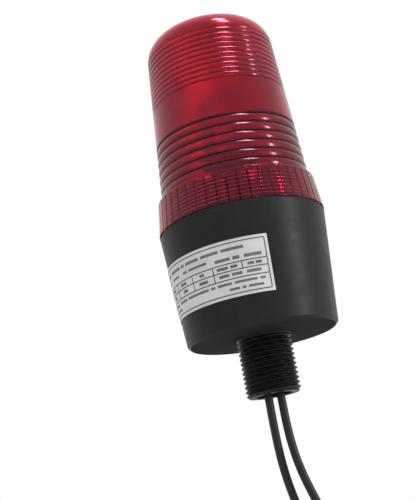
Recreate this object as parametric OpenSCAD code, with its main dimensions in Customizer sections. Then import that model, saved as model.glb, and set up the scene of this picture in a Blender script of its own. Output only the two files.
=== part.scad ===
// Strobe beacon: a red screw-on lens over a tapered housing, on a threaded stem with two hanging leads.
// Frame: +Z along the axis towards the lens, origin where the stem leaves the housing's seat, in millimetres.
// The front is -Y and the right is +X.

/* [Housing] */
// Diameter of the housing at its seat
seat_d = 59; // [56:0.5:62]
// Diameter of the housing at the shoulder under the lens
shoulder_d = 66.4; // [59.6:0.2:73]
// Height of the housing from its seat to its shoulder
body_h = 45; // [42:1:60]
// Thickness of the housing's floor
floor_t = 3.2; // [2.4:0.2:5]
// Bevel round the housing's lower edge
seat_bevel = 1; // [0.4:0.2:2]
// How much narrower the inside is at the floor, on its radius
mouth_draft = 1.2; // [0.4:0.2:2]

/* [Neck and thread] */
// Width of the shoulder's ledge round the neck's thread
shoulder_ledge = 3.7; // [3.4:0.1:4.4]
// Height of the neck above the shoulder
neck_h = 12; // [10:0.5:14]
// Wall of the neck behind its thread
neck_wall = 1.8; // [1.4:0.1:2.4]
// Pitch of the lens thread
thread_pitch = 1.5; // [1:0.1:2.5]
// Depth of the lens thread
thread_depth = 0.5; // [0.3:0.1:0.8]
// Gap between the neck's thread and the lens
thread_gap = 0.3; // [0.2:0.05:0.5]

/* [Lens] */
// Thickness of the flat seal under the lens
seal_t = 1; // [0.6:0.1:2]
// How far the collar's foot stands proud of the shoulder
collar_proud = 0.2; // [0:0.1:1]
// How much narrower the collar is at its top, on its radius
collar_taper = 1.5; // [0.5:0.1:1.6]
// Thickness of the step from the collar to the drum
collar_web = 2; // [1.6:0.1:3]
// Grip flutes round the collar
flute_count = 48; // [24:4:60]
// Depth of a grip flute
flute_depth = 0.35; // [0.2:0.05:0.5]
// Width of the collar's step round the drum
collar_step = 1.6; // [1.2:0.1:2.4]
// Diameter of the drum under the dome
drum_top_d = 53.2; // [50:0.2:57]
// Height from the shoulder of the housing to the top of the lens
lens_h = 88; // [80:1:110]
// Radius of the dome's edge
dome_r = 10; // [6:1:14]
// Angle at which the crown leaves the dome's edge
crown_angle = 12; // [6:1:20]
// Thickness of the lens wall
lens_wall = 2.4; // [2:0.2:3]
// Lens bands in the lower drum
band_count = 6; // [4:1:7]
// Height of one lens band
band_h = 3.8; // [3:0.1:4.4]
// Depth of the grooves between the bands
band_depth = 0.7; // [0.3:0.1:1]
// Height of the plain belt above the bands
belt_h = 16.4; // [12:0.2:20]
// Fine ribs between the belt and the dome
rib_count = 10; // [6:1:12]
// Depth of the grooves between the fine ribs
rib_depth = 0.45; // [0.2:0.05:0.7]

/* [Stem] */
// Diameter over the stem's thread
stem_d = 21.3; // [20.8:0.1:22]
// Length of the stem below the seat
stem_l = 22.5; // [14:0.5:30]
// Bore of the stem
stem_bore = 14; // [12:0.5:15]
// Bevel at the stem's end
stem_bevel = 1; // [0.5:0.1:1.5]
// Diameter of the stem where it passes the floor
shank_d = 19.4; // [17:0.1:20]
// Width across the flats of the nut inside the housing
nut_af = 27; // [25:0.5:30]
// Thickness of the nut inside the housing
nut_t = 4; // [3:0.5:6]
// How far the stem's sealing plug sits inside the end
plug_inset = 1.5; // [1:0.5:3]
// Length of the stem's sealing plug
plug_l = 10; // [6:1:12]

/* [Leads] */
// Diameter of a lead over its insulation
lead_d = 3.2; // [2.8:0.1:3.6]
// Distance between the leads in the plug
lead_pitch = 4.8; // [4.4:0.2:6]
// Diameter of the stripped strands
strand_d = 1.6; // [1:0.1:2]
// Length of the stripped strands
strand_l = 8; // [5:1:12]

/* [Label] */
// Height of the label on the housing's side
label_h = 21; // [14:0.5:26]
// Height of the label's lower edge above the seat
label_z = 11; // [6:0.5:14]
// Angle that the label wraps round the housing
label_wrap = 120; // [60:5:150]
// Angle of the label's right edge from the front
label_right = 12; // [0:1:40]
// Thickness of the label
label_t = 0.2; // [0.1:0.05:0.4]

/* [Board] */
// Depth of the board's underside below the shoulder
board_drop = 4; // [2:0.5:6]
// Thickness of the board
board_t = 1.6; // [1:0.1:2.4]
// Diameter of a board boss
boss_d = 6.4; // [5.6:0.2:8]
// Shank diameter of a board screw
screw_d = 2.6; // [2:0.1:3]
// Length of a board screw under its head
screw_l = 8; // [6:1:12]

/* [Flash tube] */
// Height of the flash tube from its socket to its bend
tube_h = 28; // [24:1:30]
// Outside diameter of the flash tube
tube_d = 5; // [4:0.1:6]
// Wall of the flash tube
tube_wall = 0.9; // [0.6:0.1:1.2]
// Distance between the legs of the flash tube
tube_pitch = 14; // [11:0.5:16]
// Diameter of the tube socket
socket_d = 24; // [23:0.5:28]
// Height of the tube socket
socket_h = 6; // [5:0.5:8]
// Outside diameter of the tower under the socket
tower_d = 17; // [15:0.5:18]
// Wall of the tower
tower_wall = 1.8; // [1.2:0.1:2.4]
// Width of the ledge that the tower's foot makes round it
foot_ledge = 5; // [5:0.2:6]
// Thickness of the tower's foot
foot_t = 2; // [1.5:0.1:3]

/* [Board parts] */
// Diameter of the storage capacitor
can_d = 13; // [10:0.5:15]
// Length of the storage capacitor
can_l = 27; // [20:1:29]
// Length of the film capacitor
film_l = 15; // [12:0.5:17]
// Width of the film capacitor
film_w = 6; // [5:0.5:8]
// Height of the film capacitor
film_h = 11; // [8:0.5:13]
// Length of the resistor block
resistor_l = 20; // [16:0.5:23]
// Width of the resistor block
resistor_w = 8; // [7:0.5:10]
// Height of the resistor block
resistor_h = 8; // [7:0.5:10]
// Diameter of the fuse
fuse_d = 5.2; // [5:0.1:6]
// Length of the fuse
fuse_l = 15; // [14:0.5:18]
// Width of the terminal block
block_w = 11; // [10.5:0.5:12]
// Depth of the terminal block from front to back
block_depth = 8; // [6:0.5:9]
// Height of the terminal block
block_h = 9; // [7:0.5:12]
// Diameter of the trigger coil
coil_d = 8; // [7:0.5:10]
// Height of the trigger coil
coil_h = 12; // [8:0.5:14]
// Diameter of a rectifier diode
diode_d = 2.8; // [2.4:0.1:3.4]
// Length of a rectifier diode
diode_l = 5.4; // [4.4:0.1:6.4]
// Width of the switching transistor
switch_w = 10; // [8:0.5:11]
// Thickness of the switching transistor
switch_t = 4.4; // [3.6:0.2:5]
// Height of the switching transistor's moulded body
switch_h = 9; // [7:0.5:11]

/* [Hidden] */
$fn = 96;

// Small gap round a piece that is pushed or screwed into another
fit_gap = 0.1;
// Gap that the glue leaves between the label and the housing
glue_gap = 0.05;
// Room above the neck's end
neck_gap = 0.5;
// Room between neighbouring parts on the board
part_gap = 1;
// How far a cutting shape runs past the face that it cuts
over = 1;
// Steps in the curved outlines of the lens
band_steps = 6;
rib_steps = 4;
dome_steps = 8;
crown_steps = 4;

// Housing levels and radii
seat_r = seat_d / 2;
shoulder_r = shoulder_d / 2;
neck_r = shoulder_r - shoulder_ledge;
neck_root_r = neck_r - thread_depth;
mouth_r = neck_root_r - neck_wall;
floor_r = mouth_r - mouth_draft;
shank_hole_r = shank_d / 2 + fit_gap;
neck_top_z = body_h + neck_h;
ridge_count = floor((neck_h - seal_t) / thread_pitch) - 1;
ridge_z = neck_top_z - (ridge_count + 0.5) * thread_pitch;

// Lens levels and radii
collar_z = body_h + seal_t;
collar_top_z = neck_top_z + neck_gap + collar_web;
collar_h = collar_top_z - collar_z;
collar_r = shoulder_r + collar_proud;
collar_top_r = collar_r - collar_taper;
drum_foot_r = collar_top_r - collar_step;
drum_top_r = drum_top_d / 2;
collar_bead = 0.6;
mouth_bevel = 0.5;
seal_inset = 0.6;
belt_z = collar_top_z + band_count * band_h;
belt_top_z = belt_z + belt_h;
lens_top_z = body_h + lens_h;
crown_r = dome_r + (drum_top_r - dome_r) / sin(crown_angle);
dome_z = lens_top_z - dome_r * cos(crown_angle) - crown_r * (1 - cos(crown_angle));
rib_h = (dome_z - belt_top_z) / rib_count;
lens_bore_r = neck_r + thread_gap;

// Stem levels: its conical shoulder is as high as it is wide, and its top stands a little proud of the nut
stem_shoulder = (stem_d - shank_d) / 2;
shank_proud = 1;
shank_top_z = floor_t + nut_t + shank_proud;
plug_end_z = plug_inset - stem_l;

// Board levels and the ring of its bosses
board_z = body_h - board_drop;
board_top_z = board_z + board_t;
board_r = mouth_r - 3 * fit_gap;
boss_wall_gap = 0.6;
boss_ring_r = mouth_r - boss_d / 2 - boss_wall_gap;
boss_angles = [-45, 75, 195];

// Flash tube levels: the tube stands in the middle of the plain belt
socket_top_z = (belt_z + belt_top_z - tube_h) / 2;
socket_z = socket_top_z - socket_h;
bend_z = socket_top_z + tube_h - tube_d / 2 - tube_pitch / 2;
leg_depth = 3;
cap_t = 0.4;
cap_h = 4;
wire_d = 0.7;
wire_z = socket_top_z + 0.45 * tube_h;

// The tower's foot and its screws
foot_fillet = 0.6;
foot_r = tower_d / 2 + foot_ledge;
foot_screw_d = 2.4;
foot_screw_r = tower_d / 2 + (foot_ledge + foot_fillet) / 2;

// Places of the parts that hang under the board
can_angle = 146;
can_ring_r = floor_r - part_gap - can_d / 2;
clip_t = 0.6;
clip_w = 4;
block_gap = 3.5;
fuse_lift = 1;
fuse_x = block_w / 2 + block_gap + clip_t + fit_gap + fuse_d / 2;
fuse_z = board_z - fuse_lift - fuse_d / 2;
film_x = (film_l + part_gap) / 2;
film_y = fuse_l / 2 + part_gap + film_w / 2;
resistor_y = -fuse_l / 2 - 3 * part_gap - resistor_w / 2;
block_entry = 4;
lead_in = 3;

// Places of the parts that stand on the board round the tower's foot
coil_angle = 135;
coil_ring_r = foot_r + part_gap + coil_d / 2;
diode_count = 4;
diode_step = diode_d + 1.6 * part_gap;
diode_y = -foot_r - part_gap - diode_l / 2;
switch_x = foot_r + 2 * part_gap + switch_t / 2;

// Points that the two leads follow from the plug's lower face down
lead_1_route = [[lead_pitch / 2, 0, plug_end_z], [2.4, 0, -26], [2.5, -0.2, -34], [3, -0.6, -42],
    [4.2, -1, -50], [6.2, -1.6, -58], [8.8, -2.2, -66], [12, -2.6, -74], [15.4, -3, -82], [18.6, -3, -90],
    [21.6, -3, -98], [24, -2.6, -106], [25.8, -2, -114], [27, -1.2, -122], [27.6, -0.2, -130],
    [27.6, 1, -138], [27.2, 2.2, -146], [26.4, 3.2, -154], [25.6, 4, -162], [25.2, 4.4, -170],
    [25.2, 4.4, -178]];
lead_2_route = [[-lead_pitch / 2, 0, plug_end_z], [-2.4, 0, -26], [-2.4, 0.2, -34], [-2.2, 0.8, -42],
    [-1.6, 1.8, -50], [-0.4, 3, -58], [1.4, 4, -66], [3.6, 4.8, -74], [6, 5.2, -82], [8.4, 5, -90],
    [10.4, 4.4, -98], [12, 3.4, -106], [13, 2.2, -114], [13.4, 1, -122], [13.2, -0.2, -130],
    [12.6, -1.2, -138], [11.6, -2, -146], [10.6, -2.6, -154], [9.8, -3, -162], [9.4, -3.2, -170],
    [9.4, -3.2, -178]];
lead_sides = 8;

// Outside radius of the housing at a height
function body_r(z) = seat_r + (shoulder_r - seat_r) * z / body_h;

// Outside radius of the drum at a height, before its grooves
function drum_r(z) =
    drum_foot_r + (drum_top_r - drum_foot_r) * (z - collar_top_z) / (dome_z - collar_top_z);

function unit(v) = v / norm(v);

// Direction of a route at one of its points
function heading(path, i) = unit(path[min(i + 1, len(path) - 1)] - path[max(i - 1, 0)]);

// Corners of a tube's ring at one point of its route
function ring_points(path, i, r) =
    let (
        along = heading(path, i),
        side = unit(cross(along, [0, 1, 0])),
        up = cross(side, along)
    )
    [for (k = [0:lead_sides - 1])
        path[i] + r * cos(360 * k / lead_sides) * side + r * sin(360 * k / lead_sides) * up];

// A closed tube along a route
module swept_tube(path, d) {
    last = len(path) - 1;
    points = [for (i = [0:last]) each ring_points(path, i, d / 2)];
    walls = [for (i = [0:last - 1], k = [0:lead_sides - 1])
        [i * lead_sides + k, i * lead_sides + (k + 1) % lead_sides,
         (i + 1) * lead_sides + (k + 1) % lead_sides, (i + 1) * lead_sides + k]];
    near_end = [[for (k = [lead_sides - 1:-1:0]) k]];
    far_end = [[for (k = [0:lead_sides - 1]) last * lead_sides + k]];
    polyhedron(points, concat(near_end, walls, far_end));
}

// Places children on both sides of the axis along X
module in_pair(pitch) {
    for (side = [-1, 1]) translate([side * pitch / 2, 0, 0]) children();
}

// Places children at the board's bosses
module at_bosses() {
    for (a = boss_angles) rotate(a) translate([boss_ring_r, 0, 0]) children();
}

// Places children at the screws of the tower's foot
module at_foot_screws() {
    for (side = [-1, 1]) translate([0, side * foot_screw_r, 0]) children();
}

// A pan-head screw with its head's underside at z = 0
module pan_screw(d, length) {
    head_r = 0.85 * d;
    head_h = 0.65 * d;
    crown_r = 0.6 * d;
    recess_r = 0.3 * d;
    tip = d / 8;
    rotate_extrude() polygon([
        [0, -length], [d / 2 - tip, -length], [d / 2, -length + 2 * tip], [d / 2, 0], [head_r, 0],
        [head_r, head_h / 2], [crown_r, head_h], [recess_r, head_h], [recess_r, head_h / 2],
        [0, head_h / 2]]);
}

// Outline of the neck's thread, from its foot to its top
function neck_ridges() = [for (i = [0:ridge_count - 1])
    each [[neck_root_r, ridge_z + i * thread_pitch],
          [neck_r, ridge_z + (i + 0.35) * thread_pitch],
          [neck_r, ridge_z + (i + 0.5) * thread_pitch],
          [neck_root_r, ridge_z + (i + 0.85) * thread_pitch]]];

module housing() {
    color("#2a2b2c") difference() {
        union() {
            rotate_extrude() polygon(concat(
                [[shank_hole_r, stem_shoulder], [shank_hole_r + stem_shoulder, 0],
                 [seat_r - seat_bevel, 0], [body_r(seat_bevel), seat_bevel],
                 [shoulder_r, body_h], [neck_root_r, body_h]],
                neck_ridges(),
                [[neck_root_r, neck_top_z], [mouth_r, neck_top_z], [mouth_r, board_z],
                 [floor_r, floor_t], [shank_hole_r, floor_t]]));
            at_bosses() translate([0, 0, floor_t / 2]) cylinder(d = boss_d, h = board_z - floor_t / 2);
        }
        at_bosses() translate([0, 0, board_z - screw_l]) cylinder(d = screw_d + fit_gap, h = screw_l + over);
    }
}

module threaded_stem() {
    top_bevel = stem_bevel / 2;
    color("#141414") rotate_extrude() polygon([
        [stem_bore / 2, -stem_l], [stem_d / 2 - stem_bevel, -stem_l], [stem_d / 2, -stem_l + stem_bevel],
        [stem_d / 2, 0], [shank_d / 2, stem_shoulder], [shank_d / 2, shank_top_z - top_bevel],
        [shank_d / 2 - top_bevel, shank_top_z], [stem_bore / 2, shank_top_z]]);
}

module stem_nut() {
    corner_d = nut_af / cos(30);
    bevel_rise = 0.5;
    color("#b9bcc0") translate([0, 0, floor_t]) difference() {
        intersection() {
            cylinder(d = corner_d, h = nut_t, $fn = 6);
            cylinder(d1 = corner_d + nut_t, d2 = nut_af, h = nut_t + bevel_rise);
        }
        translate([0, 0, -over]) cylinder(r = shank_hole_r, h = nut_t + 2 * over);
    }
}

module stem_plug() {
    color("#1b1b1b") translate([0, 0, plug_end_z]) difference() {
        cylinder(d = stem_bore - fit_gap, h = plug_l);
        in_pair(lead_pitch) translate([0, 0, -over]) cylinder(d = lead_d + fit_gap, h = plug_l + 2 * over);
    }
}

// Outline of the lens bands: grooves between rounded belts
function lens_bands() = [for (i = [0:band_count - 1], k = [0:band_steps - 1])
    let (t = k / band_steps, z = collar_top_z + (i + t) * band_h)
    [drum_r(z) - band_depth * (1 - sqrt(sin(180 * t))), z]];

// Outline of the fine ribs under the dome
function lens_ribs() = [for (i = [0:rib_count - 1], k = [0:rib_steps - 1])
    let (t = k / rib_steps, z = belt_top_z + (i + t) * rib_h)
    [drum_r(z) - rib_depth * (1 - sqrt(sin(180 * t))), z]];

// Outline of the dome from its edge to its top, inset from the outside by some thickness
function dome(inset) = concat(
    [for (k = [0:dome_steps])
        let (a = (90 - crown_angle) * k / dome_steps, r = dome_r - inset)
        [drum_top_r - dome_r + r * cos(a), dome_z + r * sin(a)]],
    [for (k = [1:crown_steps])
        let (a = crown_angle * (1 - k / crown_steps), r = crown_r - inset)
        [r * sin(a), lens_top_z - crown_r + r * cos(a)]]);

// Outline of the thread inside the collar, from its top to its foot
function collar_grooves() = [for (i = [ridge_count - 1:-1:0])
    each [[lens_bore_r, ridge_z + (i + 0.9) * thread_pitch],
          [lens_bore_r + thread_depth, ridge_z + (i + 0.5) * thread_pitch],
          [lens_bore_r, ridge_z + (i + 0.1) * thread_pitch]]];

module lens() {
    outside = concat(
        [[lens_bore_r + mouth_bevel, collar_z], [collar_r, collar_z],
         [collar_top_r, collar_top_z - collar_bead], [collar_top_r - collar_bead, collar_top_z]],
        lens_bands(),
        [[drum_r(belt_z) - band_depth, belt_z], [drum_r(belt_z), belt_z + band_depth],
         [drum_r(belt_top_z), belt_top_z - rib_depth]],
        lens_ribs(), dome(0));
    ceiling = dome(lens_wall);
    inside = concat(
        [for (k = [len(ceiling) - 1:-1:0]) ceiling[k]],
        [[drum_foot_r - lens_wall, collar_top_z - collar_web], [lens_bore_r, collar_top_z - collar_web]],
        collar_grooves(), [[lens_bore_r, collar_z + mouth_bevel]]);
    slope = atan2(collar_taper, collar_h - collar_bead);
    flute_w = flute_depth * sqrt(2);
    color("#c8102e") difference() {
        rotate_extrude() polygon(concat(outside, inside));
        for (i = [0:flute_count - 1])
            rotate(360 * i / flute_count) translate([collar_r, 0, collar_z]) rotate([0, -slope, 0])
                rotate(45) translate([-flute_w / 2, -flute_w / 2, -over])
                    cube([flute_w, flute_w, collar_h]);
    }
}

module lens_seal() {
    color("#101010") translate([0, 0, body_h]) difference() {
        cylinder(r = shoulder_r - seal_inset, h = seal_t);
        translate([0, 0, -over]) cylinder(r = lens_bore_r, h = seal_t + 2 * over);
    }
}

module rating_label() {
    function back_r(z) = body_r(z) + glue_gap;
    top_z = label_z + label_h;
    color("#d4d5d2") rotate(label_right - 90 - label_wrap) rotate_extrude(angle = label_wrap) polygon([
        [back_r(label_z), label_z], [back_r(label_z) + label_t, label_z],
        [back_r(top_z) + label_t, top_z], [back_r(top_z), top_z]]);
}

module circuit_board() {
    hole_h = board_t + 2 * over;
    color("#3f6b4a") translate([0, 0, board_z]) difference() {
        cylinder(r = board_r, h = board_t);
        at_bosses() translate([0, 0, -over]) cylinder(d = screw_d + 2 * fit_gap, h = hole_h);
        at_foot_screws() translate([0, 0, -over]) cylinder(d = foot_screw_d + 2 * fit_gap, h = hole_h);
    }
}

module board_screws() {
    color("#c4c6c8") at_bosses() translate([0, 0, board_top_z]) pan_screw(screw_d, screw_l);
}

module tube_tower() {
    tower_r = tower_d / 2;
    tower_h = socket_z - board_top_z;
    color("#e8e6de") translate([0, 0, board_top_z]) difference() {
        rotate_extrude() polygon([
            [tower_r - tower_wall, 0], [foot_r, 0], [foot_r, foot_t], [tower_r + foot_fillet, foot_t],
            [tower_r, foot_t + foot_fillet], [tower_r, tower_h], [tower_r - tower_wall, tower_h]]);
        at_foot_screws() translate([0, 0, -over])
            cylinder(d = foot_screw_d + 2 * fit_gap, h = foot_t + 2 * over);
    }
}

module tower_screws() {
    color("#c4c6c8") at_foot_screws() translate([0, 0, board_top_z + foot_t])
        pan_screw(foot_screw_d, foot_t + board_t - fit_gap);
}

module tube_socket() {
    socket_r = socket_d / 2;
    bevel = 1;
    color("#f2f0ea") translate([0, 0, socket_z]) difference() {
        rotate_extrude() polygon([
            [0, 0], [socket_r - bevel, 0], [socket_r, bevel], [socket_r, socket_h - bevel],
            [socket_r - bevel, socket_h], [0, socket_h]]);
        in_pair(tube_pitch) translate([0, 0, socket_h - leg_depth])
            cylinder(d = tube_d + 2 * fit_gap, h = leg_depth + over);
    }
}

// A bent rod: two legs joined by a half ring
module bent_rod(d, foot_z) {
    in_pair(tube_pitch) translate([0, 0, foot_z]) cylinder(d = d, h = bend_z - foot_z);
    translate([0, 0, bend_z]) rotate([90, 0, 0])
        rotate_extrude(angle = 180) translate([tube_pitch / 2, 0]) circle(d = d);
}

module flash_tube() {
    foot_z = socket_top_z - leg_depth;
    end_t = 2;
    color("#e6eef0") difference() {
        bent_rod(tube_d, foot_z);
        bent_rod(tube_d - 2 * tube_wall, foot_z + end_t);
    }
}

module tube_caps() {
    bore_d = tube_d + fit_gap;
    color("#b5b7ba") translate([0, 0, socket_top_z]) in_pair(tube_pitch) difference() {
        cylinder(d = bore_d + 2 * cap_t, h = cap_h);
        translate([0, 0, -over]) cylinder(d = bore_d, h = cap_h + 2 * over);
    }
}

module trigger_wire() {
    hoop_r = (tube_d + wire_d + fit_gap) / 2;
    post_y = 5;
    color("#c9a26a") {
        translate([0, 0, wire_z]) in_pair(tube_pitch)
            rotate_extrude() translate([hoop_r, 0]) circle(d = wire_d);
        translate([hoop_r - tube_pitch / 2, 0, wire_z]) rotate([0, 90, 0])
            cylinder(d = wire_d, h = tube_pitch - 2 * hoop_r);
        translate([0, 0, wire_z]) rotate([-90, 0, 0]) cylinder(d = wire_d, h = post_y);
        translate([0, post_y, socket_top_z]) cylinder(d = wire_d, h = wire_z - socket_top_z + wire_d / 2);
    }
}

module storage_capacitor() {
    can_r = can_d / 2;
    rim = 0.4;
    vent_r = can_r - 4 * rim;
    bead_z = can_l - 2.4;
    bead = 0.6;
    color("#1f3358") rotate(can_angle) translate([can_ring_r, 0, board_z - can_l]) rotate_extrude() polygon([
        [0, rim], [vent_r, rim], [vent_r + rim, 0], [can_r - rim, 0], [can_r, rim],
        [can_r, bead_z - bead], [can_r - bead, bead_z], [can_r, bead_z + bead],
        [can_r, can_l - rim], [can_r - rim, can_l], [0, can_l]]);
}

// A moulded block that hangs from the board, with bevelled lower edges
module hanging_block(x, y, length, w, h, bevel) {
    translate([x - length / 2, y, board_z - h]) rotate([90, 0, 90]) linear_extrude(length) polygon([
        [-w / 2, h], [-w / 2, bevel], [-w / 2 + bevel, 0], [w / 2 - bevel, 0], [w / 2, bevel], [w / 2, h]]);
}

module film_capacitor() {
    color("#b03a2e") hanging_block(film_x, film_y, film_l, film_w, film_h, bevel = 0.8);
}

module power_resistor() {
    color("#d9d6cc") hanging_block(0, resistor_y, resistor_l, resistor_w, resistor_h, bevel = 0.6);
}

module fuse() {
    color("#dfe8e8") translate([fuse_x, 0, fuse_z]) rotate([90, 0, 0])
        cylinder(d = fuse_d, h = fuse_l, center = true);
}

module fuse_clips() {
    fuse_r = fuse_d / 2;
    bore_r = fuse_r + fit_gap;
    mouth_w = 1.6 * fuse_r;
    color("#c9ccce") for (side = [-1, 1])
        translate([fuse_x, side * (fuse_l - clip_w) / 2, fuse_z]) rotate([90, 0, 0])
            translate([0, 0, -clip_w / 2]) linear_extrude(clip_w) difference() {
                union() {
                    circle(r = bore_r + clip_t);
                    translate([-fuse_r, 0]) square([2 * fuse_r, fuse_r + fuse_lift]);
                }
                circle(r = bore_r);
                translate([-mouth_w / 2, -2 * fuse_r]) square([mouth_w, 2 * fuse_r]);
            }
}

module rectifier_diodes() {
    color("#262626") for (i = [0:diode_count - 1])
        translate([(i - (diode_count - 1) / 2) * diode_step, diode_y, board_top_z + diode_d / 2])
            rotate([90, 0, 0]) cylinder(d = diode_d, h = diode_l, center = true);
}

module switch_transistor() {
    tab_t = 1.3;
    tab_h = 6;
    tab_hole_d = 3.6;
    color("#2b2b2d") translate([switch_x, 0, board_top_z]) difference() {
        union() {
            translate([-switch_t / 2, -switch_w / 2, 0]) cube([switch_t, switch_w, switch_h]);
            translate([switch_t / 2 - tab_t, -switch_w / 2, 0]) cube([tab_t, switch_w, switch_h + tab_h]);
        }
        translate([0, 0, switch_h + tab_h / 2]) rotate([0, 90, 0]) cylinder(d = tab_hole_d, h = switch_t);
    }
}

module trigger_coil() {
    coil_r = coil_d / 2;
    flange_t = 1.2;
    winding_r = coil_r - 0.8;
    color("#b5651d") rotate(coil_angle) translate([coil_ring_r, 0, board_top_z]) rotate_extrude() polygon([
        [0, 0], [coil_r, 0], [coil_r, flange_t], [winding_r, flange_t], [winding_r, coil_h - flange_t],
        [coil_r, coil_h - flange_t], [coil_r, coil_h], [0, coil_h]]);
}

module terminal_block() {
    color("#2f7d4f") translate([0, 0, board_z - block_h]) difference() {
        translate([-block_w / 2, -block_depth / 2, 0]) cube([block_w, block_depth, block_h]);
        in_pair(lead_pitch) translate([0, 0, -over]) cylinder(d = lead_d + fit_gap, h = block_entry + over);
    }
}

module inner_leads() {
    lead_top_z = board_z - block_h + lead_in;
    color("#161616") in_pair(lead_pitch) translate([0, 0, plug_end_z])
        cylinder(d = lead_d, h = lead_top_z - plug_end_z);
}

module lead_1() {
    color("#161616") swept_tube(lead_1_route, lead_d);
}

module lead_2() {
    color("#161616") swept_tube(lead_2_route, lead_d);
}

module stripped_ends() {
    color("#c8c2b8") for (route = [lead_1_route, lead_2_route])
        translate(route[len(route) - 1] - [0, 0, strand_l]) cylinder(d = strand_d, h = strand_l);
}

housing();
threaded_stem();
stem_nut();
stem_plug();
lens();
lens_seal();
rating_label();
circuit_board();
board_screws();
tube_tower();
tower_screws();
tube_socket();
flash_tube();
tube_caps();
trigger_wire();
storage_capacitor();
film_capacitor();
power_resistor();
fuse();
fuse_clips();
rectifier_diodes();
switch_transistor();
trigger_coil();
terminal_block();
inner_leads();
lead_1();
lead_2();
stripped_ends();
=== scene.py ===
# Strobe beacon: its finely formed pieces, its hanging leads and the finish of every surface.
import math
import random

import bpy
from mathutils import Matrix, Vector


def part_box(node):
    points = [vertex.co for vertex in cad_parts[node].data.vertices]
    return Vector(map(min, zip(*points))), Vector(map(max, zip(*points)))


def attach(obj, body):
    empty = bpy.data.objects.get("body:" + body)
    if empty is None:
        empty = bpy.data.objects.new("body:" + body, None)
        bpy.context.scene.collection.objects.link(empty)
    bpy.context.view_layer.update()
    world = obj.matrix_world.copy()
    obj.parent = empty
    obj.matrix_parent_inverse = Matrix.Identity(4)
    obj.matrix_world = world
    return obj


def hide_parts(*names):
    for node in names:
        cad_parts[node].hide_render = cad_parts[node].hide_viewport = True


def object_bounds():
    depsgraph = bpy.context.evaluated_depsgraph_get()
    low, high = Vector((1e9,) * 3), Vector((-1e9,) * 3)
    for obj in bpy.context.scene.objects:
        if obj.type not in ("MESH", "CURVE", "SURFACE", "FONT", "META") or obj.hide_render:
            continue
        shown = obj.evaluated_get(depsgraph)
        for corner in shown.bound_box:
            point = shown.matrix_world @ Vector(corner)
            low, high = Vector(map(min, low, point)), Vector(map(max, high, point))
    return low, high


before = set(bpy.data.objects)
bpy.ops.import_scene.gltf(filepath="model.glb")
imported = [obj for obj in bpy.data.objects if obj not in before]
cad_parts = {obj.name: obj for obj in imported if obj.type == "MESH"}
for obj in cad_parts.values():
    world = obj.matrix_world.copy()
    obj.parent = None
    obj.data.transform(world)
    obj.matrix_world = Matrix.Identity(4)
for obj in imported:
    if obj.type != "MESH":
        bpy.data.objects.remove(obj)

cad_low, cad_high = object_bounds()
MM = 0.001
INCH = 25.4
FULL_TURN = 2 * math.pi
SAME_LEVEL = 0.01 * MM
WHITE = (1, 1, 1, 1)

# Camera: where the photograph was taken from, in millimetres and degrees, for an image 415 by 500 pixels
IMAGE_H = 500
FOCAL_PX = 900
SENSOR = 36
CAMERA_AT = (-15.35, -344.9, -60.75)
CAMERA_TILT = 16.08
CAMERA_ROLL = -10.14
CAMERA_NEAR = 10

# Studio: the strength of the soft light, and the floor in millimetres
SOFT_LIGHT = 0.35
FLOOR_DROP = 14
FLOOR_HALF = 4000
FLOOR_FINISH = dict(dark=(238, 238, 237), light=(244, 244, 243), roughness=0.8, mottle=6, grain=60)
# The share of plain white in the floor near the object, and the distances over which it becomes all white
FLOOR_LIFT = 0.5
FLOOR_FADE = (300, 1100)

# Leads: their lengths in metres, and their points in millimetres from the plug in the stem down
LEAD_D = 3.2
LEAD_ROUTES = {
    "lead_1": [
        (2.4, 0, -21), (2.4, 0, -26), (2.5, -0.2, -34), (3, -0.6, -42), (4.2, -1, -50), (6.2, -1.6, -58),
        (8.8, -2.2, -66), (12, -2.6, -74), (15.4, -3, -82), (18.6, -3, -90), (21.6, -3, -98),
        (24, -2.6, -106), (25.8, -2, -114), (27, -1.2, -122), (27.6, -0.2, -130), (27.6, 1, -138),
        (27.2, 2.2, -146), (26.4, 3.2, -154), (25.6, 4, -162), (25.2, 4.4, -170), (25.2, 4.4, -178),
    ],
    "lead_2": [
        (-2.4, 0, -21), (-2.4, 0, -26), (-2.4, 0.2, -34), (-2.2, 0.8, -42), (-1.6, 1.8, -50), (-0.4, 3, -58),
        (1.4, 4, -66), (3.6, 4.8, -74), (6, 5.2, -82), (8.4, 5, -90), (10.4, 4.4, -98), (12, 3.4, -106),
        (13, 2.2, -114), (13.4, 1, -122), (13.2, -0.2, -130), (12.6, -1.2, -138), (11.6, -2, -146),
        (10.6, -2.6, -154), (9.8, -3, -162), (9.4, -3.2, -170), (9.4, -3.2, -178),
    ],
}
LEAD_ROUND_PARTS = 6
LEAD_BEND_PARTS = 8

# Strands: their size in millimetres, and the radius and count of each ring of them
STRAND_L = 8
STRAND_D = 0.3
STRAND_RINGS = ((0, 1), (0.32, 6), (0.62, 12))
STRAND_SIDES = 6
STRAND_LEVELS = 12
# Turns of their twist, how far they spread, and the ranges of each one's share of the spread and the length
STRAND_TWIST = 0.35
STRAND_SPREAD = 0.35
STRAND_LEAN = (0.9, 1.25)
STRAND_CUT = (0.94, 1)

# Lens: its levels come from the frame, its section from these sizes in millimetres
NECK_GAP = 0.5
COLLAR_WEB = 2
COLLAR_TAPER = 1.5
COLLAR_BEAD = 0.6
MOUTH_BEVEL = 0.5
DRUM_R = 30.3
DRUM_TOP_R = 26.6
DOME_R = 10
CROWN_ANGLE = 12
LENS_WALL = 2.4
BAND_COUNT = 6
BAND_H = 3.8
BAND_DEPTH = 0.7
BELT_H = 16.4
RIB_COUNT = 10
RIB_DEPTH = 0.45
LENS_BORE_R = 29.8

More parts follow.
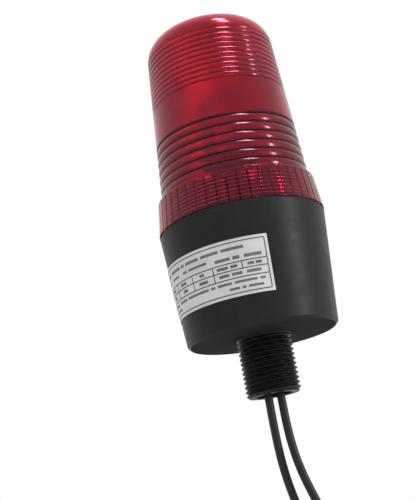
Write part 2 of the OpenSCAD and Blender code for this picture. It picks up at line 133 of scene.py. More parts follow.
# Grip flutes: lengths in millimetres and angles in degrees
FLUTE_COUNT = 48
FLUTE_SPACING = 360 / FLUTE_COUNT
FLUTE_DEPTH = 0.35
FLUTE_STOP = 1.1
FLUTE_RUNOUT = 0.3
# The angles of the points from one flute to the next, and how near to a flute's middle its bottom is
FLUTE_ANGLES = (-0.62, 0, 0.62, 2.2, 3.75, 5.3)
FLUTE_BOTTOM = 0.1

# Threads: sizes in millimetres; a form is how steep the flanks are and how much the crest is flattened
LENS_THREAD_PITCH = 1.5
LENS_THREAD_DEPTH = 0.5
LENS_THREAD_FORM = (1.5, 0.25)
STEM_TURNS_PER_INCH = 14
STEM_THREAD_PITCH = INCH / STEM_TURNS_PER_INCH
STEM_THREAD_DEPTH = 1.0
STEM_THREAD_FORM = (1.25, 0.12)
STEM_THREAD_RUNOUT = 1.2

# Stem: its ends and its crest come from the frame, its bore and shank from these sizes in millimetres
STEM_BORE_R = 7
STEM_BEVEL = 1
SHANK_R = 9.7

# Parts into which the stretches of the lens and the stem are divided
COLLAR_PARTS = 6
BEAD_PARTS = 4
BAND_PARTS = 12
BELT_PARTS = 6
RIB_PARTS = 8
DOME_PARTS = 16
INNER_DOME_PARTS = 12
LENS_THREAD_PARTS = 72
STEM_THREAD_PARTS = 140
STEM_BORE_PARTS = 6
STEM_SIDES = 96

# Label: its place round the housing in degrees, and its print in millimetres from its right and lower edges
FRONT_ANGLE = -90
LABEL_RIGHT = 12
LABEL_WRAP = 120
INK_T = 0.02
BORDER_INSET = 1.2
RULE_W = 0.38
ROW_RULES = (6.7, 9.7, 12.4)
# The place of each upright rule, and the first and the last row rule that it joins
COLUMN_RULES = ((10.6, 1, 2), (22, 0, 2), (32, 0, 2), (43, 0, 2), (54, 0, 2))
# The lower edge and the height of each row of bars, and where its bars begin and end
TONE_ROWS = (
    (17, 1.1, ((9, 17.5), (18.6, 26), (27.2, 34), (35, 37), (38, 46), (48, 60))),
    (14.4, 0.9, ((24, 33), (34, 36.5), (40, 46), (50, 60))),
    (13.5, 1.2, ((3, 9.4), (11, 13.6), (14.6, 20.6))),
    (10.5, 1.1, ((3.4, 5.6), (6.2, 8.6), (12.4, 15), (16, 20.4), (26, 28.2), (36, 40), (46, 51), (56, 61))),
    (7.7, 1.1, ((4, 9.4), (11, 15), (16, 20), (25, 29), (36, 39), (46.4, 50.6), (57, 60))),
    (4.7, 0.9, ((3, 5), (6, 14.6), (15.6, 21.4), (22.4, 24.4), (25.4, 37), (38, 44), (46, 60))),
    (2.5, 0.9, ((4, 9.6), (10.6, 12), (13, 17), (44, 49), (50, 60))),
)

# Textures: the values of a noise over which colour and gloss change, and how uneven finishes are
NOISE_ROUGHNESS = 0.6
COLOUR_REACH = (0.35, 0.65)
GLOSS_REACH = (0.3, 0.7)
GLOSS_SPREAD = 0.15
GRAIN_STRENGTH = 0.5

# Lens finish: linear colours, scales in turns to the metre, and lengths in millimetres
LENS_DARK = (0.335, 0.0015, 0.019, 1)
LENS_LIGHT = (0.405, 0.002, 0.026, 1)
LENS_GLOSS = (0.14, 0.18)
LENS_TRANSMISSION = 0.94
LENS_IOR = 1.5
LENS_SPECULAR = 0.08
LENS_SPECULAR_TINT = (1, 0.4, 0.6, 1)
LENS_FLOW_SCALE = 60
LENS_RIPPLE_SCALE = 220
LENS_RIPPLE_STRENGTH = 0.12
LENS_RIPPLE_DEPTH = 0.05
COLLAR_POLISH = 0.4
# The painted shade in a groove, the pointiness over which it clears, and its share in the flutes and the ribs
PAINTED_GROOVE_SHADE = 0.06
PAINTED_GROOVE_REACH = (0.462, 0.496)
FLUTE_SHADE_SHARE = 0.65
RIB_SHADE_SHARE = 0.85
# The painted shade of the stripe at each band's upper groove, and how far to each side it is full and ends
PAINTED_STRIPE_SHADE = 0.2
PAINTED_STRIPE_FULL = 0.45
PAINTED_STRIPE_END = 0.95

# Glass finish: screen colours, and a scale in turns to the metre
GLASS_DARK = (249, 252, 252)
GLASS_LIGHT = (254, 255, 255)
GLASS_GLOSS = (0.01, 0.03)
GLASS_IOR = 1.47
GLASS_LINE_SCALE = 300

# Underside of the housing: how far a face looks down as it grows dull, and how dull it gets
UNDERSIDE_FACING = (-0.9, -0.98)
UNDERSIDE_ROUGHNESS = 0.9

# Other finishes: screen colours, scales in turns to the metre, and relief in millimetres
FINISHES = {
    "housing_plastic": dict(
        dark=(25, 26, 26), light=(30, 31, 31), roughness=0.42, grain=3500, relief=0.005, specular=0.15),
    "stem_plastic": dict(dark=(12, 12, 12), light=(18, 18, 18), roughness=0.45, grain=3000, specular=0.2),
    "black_rubber": dict(dark=(20, 20, 20), light=(28, 28, 28), roughness=0.7, grain=2000, relief=0.03),
    "lead_insulation": dict(dark=(16, 16, 17), light=(24, 24, 25), roughness=0.42, grain=1800, specular=0.3),
    "tinned_copper": dict(dark=(168, 164, 156), light=(205, 200, 190), roughness=0.3, metallic=0.9),
    "label_foil": dict(dark=(192, 195, 192), light=(206, 209, 206), roughness=0.4, mottle=90, metallic=0.25),
    "label_ink": dict(dark=(34, 35, 36), light=(52, 53, 54), roughness=0.55, grain=4000),
    "label_tone": dict(dark=(84, 86, 87), light=(108, 110, 110), roughness=0.55, grain=4000),
    "white_plastic": dict(dark=(222, 220, 212), light=(232, 230, 224), roughness=0.45),
    "white_ceramic": dict(dark=(228, 226, 218), light=(240, 238, 232), roughness=0.55, relief=0.03),
    "board_laminate": dict(dark=(38, 84, 54), light=(48, 102, 66), roughness=0.35, mottle=600),
    "zinc_steel": dict(dark=(165, 168, 172), light=(196, 198, 202), roughness=0.32, metallic=1.0),
    "tin_plate": dict(dark=(172, 174, 176), light=(205, 206, 208), roughness=0.28, metallic=1.0),
    "copper_wire": dict(dark=(176, 118, 74), light=(206, 150, 104), roughness=0.3, metallic=1.0),
    "blue_sleeve": dict(dark=(24, 42, 84), light=(32, 54, 100), roughness=0.3),
    "red_epoxy": dict(dark=(122, 34, 26), light=(150, 46, 34), roughness=0.3),
    "black_epoxy": dict(dark=(26, 26, 27), light=(38, 38, 39), roughness=0.5),
    "coil_varnish": dict(dark=(110, 56, 20), light=(146, 80, 32), roughness=0.35, mottle=900),
    "green_plastic": dict(dark=(36, 96, 64), light=(46, 116, 78), roughness=0.45),
}

# Finish of the nodes that show as they were built
NODE_FINISH = {
    "housing": "housing_plastic", "stem_nut": "zinc_steel", "stem_plug": "black_rubber",
    "lens_seal": "black_rubber", "rating_label": "label_foil", "circuit_board": "board_laminate",
    "board_screws": "zinc_steel", "tube_tower": "white_plastic", "tower_screws": "zinc_steel",
    "tube_socket": "white_ceramic", "flash_tube": "clear_glass", "tube_caps": "tin_plate",
    "trigger_wire": "copper_wire", "storage_capacitor": "blue_sleeve", "film_capacitor": "red_epoxy",
    "power_resistor": "white_ceramic", "fuse": "clear_glass", "fuse_clips": "tin_plate",
    "rectifier_diodes": "black_epoxy", "switch_transistor": "black_epoxy", "trigger_coil": "coil_varnish",
    "terminal_block": "green_plastic", "inner_leads": "lead_insulation",
}


def srgb(red, green, blue):
    """A screen colour as the shader's linear colour."""
    def linear(value):
        share = value / 255
        return share / 12.92 if share <= 0.04045 else ((share + 0.055) / 1.055) ** 2.4
    return (linear(red), linear(green), linear(blue), 1)


def grey(value):
    """A grey as a linear colour."""
    return (value, value, value, 1)


def steps(first, last, count):
    """Evenly spaced values from first to last, both included."""
    return [first + (last - first) * i / count for i in range(count + 1)]


def add_object(name, data):
    """A new object in the scene."""
    thing = bpy.data.objects.new(name, data)
    bpy.context.scene.collection.objects.link(thing)
    return thing


def add_mesh(name, vertices, faces, sharp_angle=40):
    """A smooth-shaded mesh object from points in millimetres, creased where faces meet sharply."""
    mesh = bpy.data.meshes.new(name)
    mesh.from_pydata([Vector(v) * MM for v in vertices], [], faces)
    mesh.shade_smooth()
    mesh.set_sharp_from_angle(angle=math.radians(sharp_angle))
    return add_object(name, mesh)


def tube_faces(start, sides, levels):
    """Faces of a closed tube of rings of points, which follow each other from the point numbered start."""
    last = start + levels * sides
    faces = [tuple(range(start, start + sides)), tuple(reversed(range(last, last + sides)))]
    for low in range(start, last, sides):
        for side in range(sides):
            after = (side + 1) % sides
            faces.append((low + side, low + sides + side, low + sides + after, low + after))
    return faces


def revolve(name, outline, angles):
    """A closed revolved mesh. A radius is a number, zero at a pole, or a function of the angle in degrees."""
    vertices = []
    rings = []
    for radius, z in outline:
        start = len(vertices)
        if radius == 0:
            vertices.append((0, 0, z))
            rings.append([start])
            continue
        for angle in angles:
            r = radius(angle) if callable(radius) else radius
            a = math.radians(angle)
            vertices.append((r * math.cos(a), r * math.sin(a), z))
        rings.append(list(range(start, len(vertices))))
    faces = []
    for ring, after in zip(rings, rings[1:] + rings[:1]):
        for i in range(len(angles)):
            k = (i + 1) % len(angles)
            if len(ring) > 1 and len(after) > 1:
                faces.append((ring[i], ring[k], after[k], after[i]))
            elif len(ring) > 1:
                faces.append((ring[i], ring[k], after[0]))
            elif len(after) > 1:
                faces.append((ring[0], after[k], after[i]))
    return add_mesh(name, vertices, faces)


def thread_cut(z, angle, pitch, form):
    """How deep a right-hand thread is cut at one place, from 0 at its crest to 1 at its root."""
    steepness, flat = form
    wave = abs(2 * ((z / pitch - angle / 360) % 1) - 1)
    return min(1, max(0, steepness * wave - flat))


def add_camera():
    """The scene's camera, level along +Y before its tilt and roll; its sensor spans the image's height."""
    data = bpy.data.cameras.new("camera")
    data.sensor_width = SENSOR
    data.lens = SENSOR * FOCAL_PX / IMAGE_H
    data.clip_start = CAMERA_NEAR * MM
    camera = add_object("camera", data)
    aim = Matrix.Rotation(math.radians(90 + CAMERA_TILT), 4, "X")
    roll = Matrix.Rotation(math.radians(CAMERA_ROLL), 4, "Z")
    camera.matrix_world = Matrix.Translation(Vector(CAMERA_AT) * MM) @ aim @ roll
    bpy.context.scene.camera = camera


def strand_bundle(name, top, seed):
    """Twisted strands that hang from a lead's cut end and spread a little towards their tips."""
    draw = random.Random(seed)
    vertices = []
    faces = []
    for ring_r, count in STRAND_RINGS:
        for k in range(count):
            lean = draw.uniform(*STRAND_LEAN)
            length = STRAND_L * draw.uniform(*STRAND_CUT)
            faces += tube_faces(len(vertices), STRAND_SIDES, STRAND_LEVELS)
            for t in steps(0, 1, STRAND_LEVELS):
                turn = FULL_TURN * (k / count + STRAND_TWIST * t)
                r = ring_r * (1 + STRAND_SPREAD * lean * t * t)
                centre = Vector((r * math.cos(turn), r * math.sin(turn), -length * t)) + Vector(top)
                for side in range(STRAND_SIDES):
                    a = FULL_TURN * side / STRAND_SIDES
                    vertices.append(centre + STRAND_D / 2 * Vector((math.cos(a), math.sin(a), 0)))
    return add_mesh(name, vertices, faces, sharp_angle=60)


def hanging_lead(name, route):
    """An insulated lead along its route, as a round curve."""
    curve = bpy.data.curves.new(name, "CURVE")
    curve.dimensions = "3D"
    curve.bevel_depth = LEAD_D / 2 * MM
    curve.bevel_resolution = LEAD_ROUND_PARTS
    curve.resolution_u = LEAD_BEND_PARTS
    curve.use_fill_caps = True
    spline = curve.splines.new("BEZIER")
    spline.bezier_points.add(len(route) - 1)
    for point, at in zip(spline.bezier_points, route):
        point.co = Vector(at) * MM
        point.handle_left_type = "AUTO"
        point.handle_right_type = "AUTO"
    return add_object(name, curve)


def lens_levels():
    """Heights on the lens in millimetres: its foot, its collar's web, its bands, belt, ribs and top."""
    low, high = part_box("lens")
    web_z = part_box("housing")[1].z / MM + NECK_GAP
    bands_z = web_z + COLLAR_WEB
    belt_z = bands_z + BAND_COUNT * BAND_H
    return low.z / MM, web_z, bands_z, belt_z, belt_z + BELT_H, high.z / MM


def lens_outline():
    """The section of the lens: its outside from the mouth to the top, then its inside back down."""
    collar_z, web_z, collar_top_z, belt_z, belt_top_z, top_z = lens_levels()
    collar_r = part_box("lens")[1].x / MM
    crown = math.radians(CROWN_ANGLE)
    crown_r = DOME_R + (DRUM_TOP_R - DOME_R) / math.sin(crown)
    dome_z = top_z - DOME_R * math.cos(crown) - crown_r * (1 - math.cos(crown))
    rib_h = (dome_z - belt_top_z) / RIB_COUNT
    bead_z = collar_top_z - COLLAR_BEAD
    flute_top_z = collar_top_z - FLUTE_STOP

    def drum_r(z):
        """The radius of the tapered drum, over its grooves."""
        return DRUM_R + (DRUM_TOP_R - DRUM_R) * (z - collar_top_z) / (dome_z - collar_top_z)

    def collar_side(z):
        """The radius of the tapered collar between its flutes."""
        return collar_r - COLLAR_TAPER * (z - collar_z) / (bead_z - collar_z)

    def fluted(z):
        """The collar's radius round its grip flutes."""
        def radius(angle):
            in_flute = min(angle % FLUTE_SPACING, -angle % FLUTE_SPACING) < FLUTE_BOTTOM
            return collar_side(z) - (FLUTE_DEPTH if in_flute else 0)
        return radius

    def threaded(z):
        """The radius of the thread inside the collar, which fades out at both ends."""
        room = min(web_z - z, z - collar_z - MOUTH_BEVEL)
        depth = LENS_THREAD_DEPTH * max(0, min(1, room / LENS_THREAD_PITCH))
        def radius(angle):
            return LENS_BORE_R + depth * thread_cut(z, angle, LENS_THREAD_PITCH, LENS_THREAD_FORM)
        return radius

    def rounded(start_z, count, height, depth, parts):
        """Rounded ribs one above the other with sharp grooves between them."""
        points = []
        for i in range(count):
            for k in range(parts):
                z = start_z + (i + k / parts) * height
                swell = math.sin(math.pi * k / parts) ** 0.5
                points.append((drum_r(z) - depth * (1 - swell), z))
        return points

    def dome(inset, parts):
        """The rounded edge and the flatter crown over it, some way inside the outer face."""
        edge = [
            (DRUM_TOP_R - DOME_R + (DOME_R - inset) * math.cos(a), dome_z + (DOME_R - inset) * math.sin(a))
            for a in steps(0, math.pi / 2 - crown, parts)]
        top = [
            ((crown_r - inset) * math.sin(a), top_z - crown_r + (crown_r - inset) * math.cos(a))
            for a in steps(crown, 0, parts // 2)[1:-1]]
        return edge + top + [(0, top_z - inset)]

    outside = [(LENS_BORE_R + MOUTH_BEVEL, collar_z)]
    outside += [(fluted(z), z) for z in steps(collar_z, flute_top_z - FLUTE_RUNOUT, COLLAR_PARTS)]
    outside += [(collar_side(flute_top_z), flute_top_z)]
    bead_r = collar_side(bead_z) - COLLAR_BEAD
    outside += [
        (bead_r + COLLAR_BEAD * math.cos(a), bead_z + COLLAR_BEAD * math.sin(a))
        for a in steps(0, math.pi / 2, BEAD_PARTS)]
    outside += rounded(collar_top_z, BAND_COUNT, BAND_H, BAND_DEPTH, BAND_PARTS)
    outside += [(drum_r(belt_z) - BAND_DEPTH, belt_z)]
    outside += [(drum_r(z), z) for z in steps(belt_z + BAND_DEPTH, belt_top_z - RIB_DEPTH, BELT_PARTS)]
    outside += rounded(belt_top_z, RIB_COUNT, rib_h, RIB_DEPTH, RIB_PARTS)
    outside += dome(0, DOME_PARTS)
    inside = list(reversed(dome(LENS_WALL, INNER_DOME_PARTS)))
    inside += [(DRUM_R - LENS_WALL, web_z), (LENS_BORE_R, web_z)]
    inside += [(threaded(z), z) for z in steps(web_z, collar_z + MOUTH_BEVEL, LENS_THREAD_PARTS)[1:]]
    return outside + inside


def lens_angles():
    """Angles round the lens, closer together at each grip flute."""
    return [flute * FLUTE_SPACING + angle for flute in range(FLUTE_COUNT) for angle in FLUTE_ANGLES]


def stem_outline():
    """The section of the stem: its threaded outside from the lower end up, then its bore back down."""
    low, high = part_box("threaded_stem")
    end_z = low.z / MM
    top_z = high.z / MM
    crest_r = high.x / MM

    def threaded(z):
        """The radius of the thread, which runs out at the seat and is bevelled at the lower end."""
        depth = STEM_THREAD_DEPTH * min(1, -z / STEM_THREAD_RUNOUT)
        bevel_r = crest_r - max(0, STEM_BEVEL - (z - end_z))
        def radius(angle):
            groove = depth * thread_cut(z, angle, STEM_THREAD_PITCH, STEM_THREAD_FORM)
            return min(bevel_r, crest_r - groove)
        return radius

    outside = [(threaded(z), z) for z in steps(end_z, 0, STEM_THREAD_PARTS)]
    shank = [
        (SHANK_R, crest_r - SHANK_R), (SHANK_R, top_z - STEM_BEVEL / 2), (SHANK_R - STEM_BEVEL / 2, top_z)]
    bore = [(STEM_BORE_R, z) for z in steps(top_z, end_z, STEM_BORE_PARTS)]
    return outside + shank + bore


def label_radii():
    """Outside radius of the label at its lower and upper edge, in millimetres."""
    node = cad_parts["rating_label"]
    low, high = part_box("rating_label")
    def widest(z):
        return max(math.hypot(v.co.x, v.co.y) for v in node.data.vertices if abs(v.co.z - z) < SAME_LEVEL)
    return widest(low.z) / MM, widest(high.z) / MM


def label_size():
    """Length of the label round the housing and its height, in millimetres."""
    low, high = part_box("rating_label")
    return math.radians(LABEL_WRAP) * sum(label_radii()) / 2, (high.z - low.z) / MM


def label_field(near, far, low, high, start):
    """Points of one thin printed field, wrapped round the label, and its faces, numbered from start."""
    base_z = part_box("rating_label")[0].z / MM
    low_r, high_r = label_radii()
    length, height = label_size()
    columns = max(1, round(far - near))
    corners = ((low, -INK_T), (low, INK_T), (high, INK_T), (high, -INK_T))
    points = []
    for along in steps(near, far, columns):
        a = math.radians(FRONT_ANGLE + LABEL_RIGHT - LABEL_WRAP * along / length)
        for level, lift in corners:
            r = low_r + (high_r - low_r) * level / height + lift
            points.append((r * math.cos(a), r * math.sin(a), base_z + level))
    return points, tube_faces(start, len(corners), columns)


def label_print(name, fields):
    """One mesh with all the fields of one ink, each from near to far along the label and from low to high."""
    vertices = []
    faces = []
    for field in fields:
        points, sides = label_field(*field, start=len(vertices))
        vertices += points
        faces += sides
    return add_mesh(name, vertices, faces, sharp_angle=30)


def label_rules():
    """The border of the label and the lines of its table."""
    length, height = label_size()
    left = length - BORDER_INSET
    half = RULE_W / 2
    levels = (BORDER_INSET, *ROW_RULES, height - BORDER_INSET)
    fields = [(BORDER_INSET, left, level - half, level + half) for level in levels]
    uprights = [(BORDER_INSET, levels), (left, levels)]
    uprights += [(along, ROW_RULES[first:last + 1]) for along, first, last in COLUMN_RULES]
    for along, joined in uprights:
        for low, high in zip(joined, joined[1:]):
            fields.append((along - half, along + half, low + half, high - half))
    return fields


def label_tones():
    """Blank bars of tone in the label's fields."""
    return [(near, far, low, low + height) for low, height, bars in TONE_ROWS for near, far in bars]


def new_material(name):
    """A material with a Principled shader; returns it with its node tree and shader."""
    material = bpy.data.materials.new(name)
    material.use_nodes = True
    return material, material.node_tree, material.node_tree.nodes["Principled BSDF"]


def add_noise(tree, scale, detail=4.0):
    """The value of a noise texture in the object's own coordinates."""
    where = tree.nodes.new("ShaderNodeTexCoord")
    noise = tree.nodes.new("ShaderNodeTexNoise")
    noise.inputs["Scale"].default_value = scale
    noise.inputs["Detail"].default_value = detail
    noise.inputs["Roughness"].default_value = NOISE_ROUGHNESS
    tree.links.new(where.outputs["Object"], noise.inputs["Vector"])
    return noise.outputs[0]


def upward_part(tree, coordinates):
    """The Z part of one kind of texture coordinates."""
    where = tree.nodes.new("ShaderNodeTexCoord")
    parts = tree.nodes.new("ShaderNodeSeparateXYZ")
    tree.links.new(where.outputs[coordinates], parts.inputs["Vector"])
    return parts.outputs["Z"]


def add_ramp(tree, value, low, high, reach=COLOUR_REACH):
    """A colour that goes from low to high as a value goes through its reach."""
    ramp = tree.nodes.new("ShaderNodeValToRGB")
    for element, position, colour in zip(ramp.color_ramp.elements, reach, (low, high)):
        element.position = position
        element.color = colour
    tree.links.new(value, ramp.inputs["Fac"])
    return ramp.outputs["Color"]


def add_range(tree, value, reach, low=0, high=1, smooth=False):
    """A number that goes from low to high as a value goes through its reach."""
    spread = tree.nodes.new("ShaderNodeMapRange")
    spread.interpolation_type = "SMOOTHSTEP" if smooth else "LINEAR"
    spread.inputs["From Min"].default_value = reach[0]
    spread.inputs["From Max"].default_value = reach[1]
    spread.inputs["To Min"].default_value = low
    spread.inputs["To Max"].default_value = high
    tree.links.new(value, spread.inputs["Value"])
    return spread.outputs["Result"]


def add_math(tree, operation, first, second):
    """The result of one operation on two values."""
    result = tree.nodes.new("ShaderNodeMath")
    result.operation = operation
    tree.links.new(first, result.inputs[0])
    tree.links.new(second, result.inputs[1])
    return result.outputs[0]


def add_shade(tree, colour, shade, share=None):
    """A colour darkened by a shade, wholly or by a share."""
    mix = tree.nodes.new("ShaderNodeMix")
    mix.data_type = "RGBA"
    mix.blend_type = "MULTIPLY"
    mix.inputs["Factor"].default_value = 1
    tree.links.new(colour, mix.inputs["A"])
    tree.links.new(shade, mix.inputs["B"])
    if share is not None:
        tree.links.new(share, mix.inputs["Factor"])
    return mix.outputs["Result"]


def add_bump(tree, shader, height, strength, depth):
    """Fine relief from a texture; depth is in millimetres."""
    bump = tree.nodes.new("ShaderNodeBump")
    bump.inputs["Strength"].default_value = strength
    bump.inputs["Distance"].default_value = depth * MM
    tree.links.new(height, bump.inputs["Height"])
    tree.links.new(bump.outputs["Normal"], shader.inputs["Normal"])


def finish_material(
        name, dark, light, roughness, mottle=180, grain=2500, relief=0.02, metallic=0.0, specular=0.5):
    """A finish with mottled colour, uneven gloss and a fine grain."""
    material, tree, shader = new_material(name)
    shader.inputs["Metallic"].default_value = metallic
    shader.inputs["Specular IOR Level"].default_value = specular
    mottled = add_noise(tree, mottle)
    tree.links.new(add_ramp(tree, mottled, srgb(*dark), srgb(*light)), shader.inputs["Base Color"])
    glossy = roughness * (1 - GLOSS_SPREAD)
    dull = roughness * (1 + GLOSS_SPREAD)
    tree.links.new(add_range(tree, mottled, GLOSS_REACH, glossy, dull), shader.inputs["Roughness"])
    add_bump(tree, shader, add_noise(tree, grain, detail=2.0), GRAIN_STRENGTH, relief)
    return material


def matte_underside(material):
    """Makes the faces that look straight down duller than the rest."""
    tree = material.node_tree
    roughness = tree.nodes["Principled BSDF"].inputs["Roughness"]
    gloss = roughness.links[0].from_socket
    dull = add_range(tree, upward_part(tree, "Normal"), UNDERSIDE_FACING, high=UNDERSIDE_ROUGHNESS)
    tree.links.new(add_math(tree, "MAXIMUM", gloss, dull), roughness)


def by_height(tree, stops):
    """A value that changes with the height on the lens, from stops of a height in millimetres and a value."""
    foot, *_, top = lens_levels()
    height = add_range(tree, upward_part(tree, "Object"), (foot * MM, top * MM))
    ramp = tree.nodes.new("ShaderNodeValToRGB")
    elements = ramp.color_ramp.elements
    elements.remove(elements[1])
    for index, (z, value) in enumerate(stops):
        position = (z - foot) / (top - foot)
        element = elements.new(position) if index else elements[0]
        element.position = position
        element.color = grey(value)
    tree.links.new(height, ramp.inputs["Fac"])
    return ramp.outputs["Color"]


def painted_band_shade(bands_z):
    """Heights and values of the painted shade: a dark stripe at the upper groove of each band."""
    stops = []
    for i in range(1, BAND_COUNT + 1):
        z = bands_z + i * BAND_H
        stops += [(z - PAINTED_STRIPE_END, 1), (z - PAINTED_STRIPE_FULL, PAINTED_STRIPE_SHADE)]
        stops += [(z + PAINTED_STRIPE_FULL, PAINTED_STRIPE_SHADE), (z + PAINTED_STRIPE_END, 1)]
    return stops


def lens_material():
    """Clear red moulded plastic with slight flow marks, painted shade in its grooves and in a stripe at each
    band's upper groove, and polished on its collar.
    """
    _, _, bands_z, belt_z, ribs_z, _ = lens_levels()
    flutes_z = bands_z - FLUTE_STOP
    material, tree, shader = new_material("red_lens")
    flow = add_noise(tree, LENS_FLOW_SCALE, detail=2.0)
    form = tree.nodes.new("ShaderNodeNewGeometry")
    # Painted shade: the colour darkens where the surface folds into a groove, by how pointed it is
    grooves = add_ramp(tree, form.outputs["Pointiness"], grey(PAINTED_GROOVE_SHADE), WHITE, PAINTED_GROOVE_REACH)
    share = by_height(tree, [(flutes_z, FLUTE_SHADE_SHARE), (bands_z, 1), (belt_z, 1), (ribs_z, RIB_SHADE_SHARE)])
    groove_shaded = add_shade(tree, add_ramp(tree, flow, LENS_DARK, LENS_LIGHT), grooves, share)
    # Painted shade: a dark stripe at each band's upper groove
    stripe_shaded = add_shade(tree, groove_shaded, by_height(tree, painted_band_shade(bands_z)))
    tree.links.new(stripe_shaded, shader.inputs["Base Color"])
    gloss = add_range(tree, flow, GLOSS_REACH, *LENS_GLOSS)
    polish = by_height(tree, [(flutes_z, COLLAR_POLISH), (bands_z, 1)])
    tree.links.new(add_math(tree, "MULTIPLY", gloss, polish), shader.inputs["Roughness"])
    shader.inputs["Transmission Weight"].default_value = LENS_TRANSMISSION
    shader.inputs["IOR"].default_value = LENS_IOR
    shader.inputs["Specular IOR Level"].default_value = LENS_SPECULAR
    shader.inputs["Specular Tint"].default_value = LENS_SPECULAR_TINT
    ripple = add_noise(tree, LENS_RIPPLE_SCALE, detail=1.0)
    add_bump(tree, shader, ripple, LENS_RIPPLE_STRENGTH, LENS_RIPPLE_DEPTH)
    return material


def glass_material():
    """Clear glass with faint drawn lines."""
    material, tree, shader = new_material("clear_glass")
    drawn = add_noise(tree, GLASS_LINE_SCALE, detail=1.0)
    tree.links.new(add_ramp(tree, drawn, srgb(*GLASS_DARK), srgb(*GLASS_LIGHT)), shader.inputs["Base Color"])
    tree.links.new(add_range(tree, drawn, GLOSS_REACH, *GLASS_GLOSS), shader.inputs["Roughness"])
    shader.inputs["Transmission Weight"].default_value = 1
    shader.inputs["IOR"].default_value = GLASS_IOR
    return material


def dress(piece, material):
    """Gives a piece one material."""
    piece.data.materials.clear()
    piece.data.materials.append(material)


def area_light(name, azimuth, elevation, distance, size, power, mirrored=True):
    """A lamp that looks at the lens's foot, in degrees and metres; azimuth 0 is the front, 90 the right."""
    data = bpy.data.lights.new(name, "AREA")
    data.shape = "RECTANGLE"
    data.size, data.size_y = size
    data.energy = power
    lamp = add_object(name, data)
    a = math.radians(azimuth)
    e = math.radians(elevation)
    away = Vector((math.sin(a) * math.cos(e), -math.cos(a) * math.cos(e), math.sin(e)))
    foot = Vector((0, 0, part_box("lens")[0].z))
    lamp.location = foot + away * distance
    lamp.rotation_mode = "QUATERNION"
    lamp.rotation_quaternion = away.to_track_quat("Z", "Y")
    lamp.visible_camera = False
    lamp.visible_glossy = mirrored


def seen_rays(tree):
    """One for rays from the camera, a mirror or clear material, and zero for rays that carry light."""
    path = tree.nodes.new("ShaderNodeLightPath")
    seen = path.outputs["Is Camera Ray"]
    for output in ("Is Glossy Ray", "Is Transmission Ray"):
        seen = add_math(tree, "MAXIMUM", seen, path.outputs[output])
    return seen


def mix_shaders(tree, share, first, second, target):
    """Sends the mix of two shaders to a target; a share of one is all second."""
    mix = tree.nodes.new("ShaderNodeMixShader")
    tree.links.new(share, mix.inputs["Fac"])
    tree.links.new(first.outputs[0], mix.inputs[1])
    tree.links.new(second.outputs[0], mix.inputs[2])
    tree.links.new(mix.outputs[0], target)


def add_world():
    """White behind the object and in what it mirrors, and softer light on it."""
    world = bpy.data.worlds.new("studio")
    bpy.context.scene.world = world
    world.use_nodes = True
    tree = world.node_tree
    soft = tree.nodes["Background"]
    soft.inputs["Color"].default_value = WHITE
    soft.inputs["Strength"].default_value = SOFT_LIGHT
    white = tree.nodes.new("ShaderNodeBackground")
    white.inputs["Color"].default_value = WHITE
    white.inputs["Strength"].default_value = 1
    mix_shaders(tree, seen_rays(tree), soft, white, tree.nodes["World Output"].inputs["Surface"])


def floor_material():
    """A pale floor that keeps the shadows near the object and fades into the white behind it."""
    material = finish_material("pale_floor", **FLOOR_FINISH)
    tree = material.node_tree
    white = tree.nodes.new("ShaderNodeEmission")
    where = tree.nodes.new("ShaderNodeTexCoord")
    away = tree.nodes.new("ShaderNodeVectorMath")
    away.operation = "LENGTH"
    tree.links.new(where.outputs["Object"], away.inputs[0])
    near, far = FLOOR_FADE
    fade = add_range(tree, away.outputs["Value"], (near * MM, far * MM), FLOOR_LIFT, smooth=True)
    lift = add_math(tree, "MULTIPLY", seen_rays(tree), fade)
    pale = tree.nodes["Principled BSDF"]
    mix_shaders(tree, lift, pale, white, tree.nodes["Material Output"].inputs["Surface"])
    return material


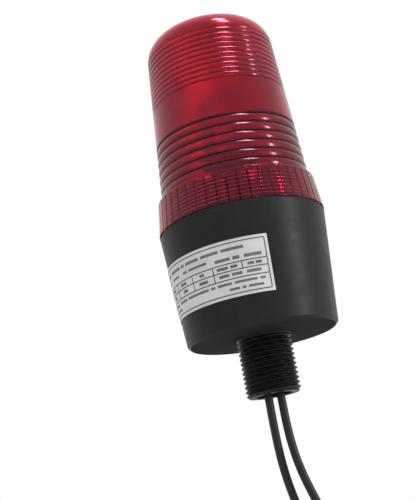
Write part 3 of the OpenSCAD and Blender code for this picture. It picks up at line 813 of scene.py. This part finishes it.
def add_floor():
    """A wide pale floor a little below the ends of the leads."""
    z = cad_low.z / MM - FLOOR_DROP
    corners = ((-1, -1), (1, -1), (1, 1), (-1, 1))
    floor = add_mesh("floor", [(x * FLOOR_HALF, y * FLOOR_HALF, z) for x, y in corners], [(0, 1, 2, 3)])
    dress(floor, floor_material())


# Scene
bpy.context.scene.view_settings.view_transform = "Standard"
add_camera()
add_world()
add_floor()
area_light("key", azimuth=44, elevation=62, distance=0.9, size=(0.16, 0.36), power=4)
area_light("streak", azimuth=66, elevation=6, distance=0.9, size=(0.08, 0.4), power=3.4)
area_light("fill", azimuth=-40, elevation=35, distance=1.2, size=(1.2, 1.2), power=5.5, mirrored=False)
area_light("back", azimuth=165, elevation=40, distance=1.2, size=(0.9, 0.9), power=2.5, mirrored=False)
area_light("glow", azimuth=181.1, elevation=28, distance=0.96, size=(0.05, 0.4), power=0.38, mirrored=False)

# Materials
materials = {name: finish_material(name, **finish) for name, finish in FINISHES.items()}
materials["red_lens"] = lens_material()
materials["clear_glass"] = glass_material()
matte_underside(materials["housing_plastic"])

# Leads and their stripped strands
for index, (name, route) in enumerate(LEAD_ROUTES.items(), start=1):
    strands = strand_bundle(f"strands_{index}", route[-1], seed=index)
    dress(strands, materials["tinned_copper"])
    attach(strands, "base")
    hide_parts("stripped_ends")
    insulated = hanging_lead(f"insulated_{name}", route)
    dress(insulated, materials["lead_insulation"])
    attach(insulated, "base")
    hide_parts(name)

# Lens with its ribs, bands, grip flutes and inner thread
clear_lens = revolve("clear_lens", lens_outline(), lens_angles())
dress(clear_lens, materials["red_lens"])
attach(clear_lens, "lens")
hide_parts("lens")

# Print on the label: its border and table, and bars of tone
prints = (("label_rules", label_rules(), "label_ink"), ("label_tones", label_tones(), "label_tone"))
for name, fields, ink in prints:
    printed = label_print(name, fields)
    dress(printed, materials[ink])
    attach(printed, "base")

# Stem with its half-inch pipe thread
cut_stem = revolve("cut_stem", stem_outline(), steps(0, 360, STEM_SIDES)[:-1])
dress(cut_stem, materials["stem_plastic"])
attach(cut_stem, "base")
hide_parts("threaded_stem")

# Nodes that show as they were built
for node, finish in NODE_FINISH.items():
    dress(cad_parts[node], materials[finish])
